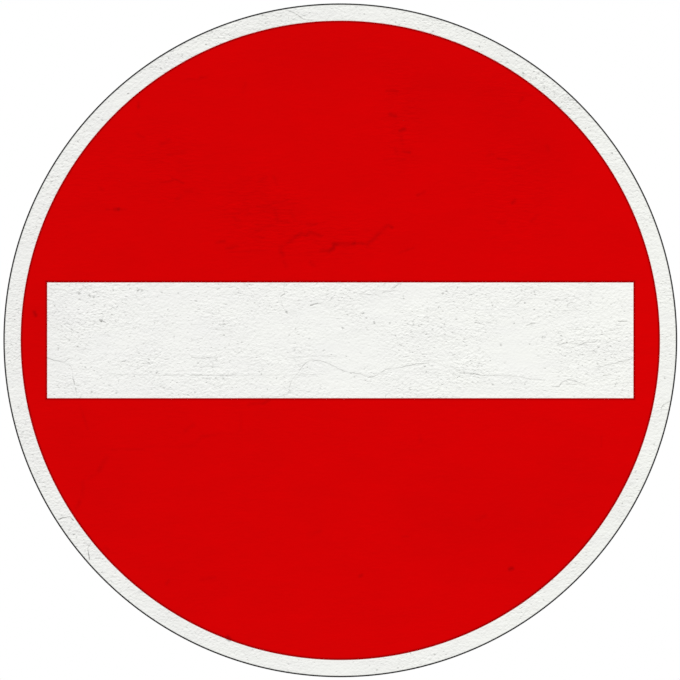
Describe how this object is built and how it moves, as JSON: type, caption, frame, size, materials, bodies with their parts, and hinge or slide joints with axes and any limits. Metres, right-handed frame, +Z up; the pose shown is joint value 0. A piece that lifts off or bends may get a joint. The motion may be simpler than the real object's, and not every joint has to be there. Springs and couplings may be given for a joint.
{
  "type": "no entry sign",
  "caption": "Round road sign: folded-edge steel disc with a white bar and border on red, and slotted hat-section brackets on its back.",
  "frame": {"origin": "centre of the four fixing slots, on the plane of the brackets' rear faces, level with the disc's centre", "axes": "+Z up, -Y out of the sign's face towards the viewer, +X to the viewer's right"},
  "size_m": [0.6, 0.0175, 0.6],
  "materials": {
    "grey_paint": "satin",
    "white_facing": "matte",
    "red_facing": "matte"
  },
  "bodies": {
    "root": {"sign_plate": "grey_paint", "white_sheeting": "white_facing", "red_sheeting": "red_facing", "upper_bracket": "grey_paint", "lower_bracket": "grey_paint"}
  },
  "joints": []
}
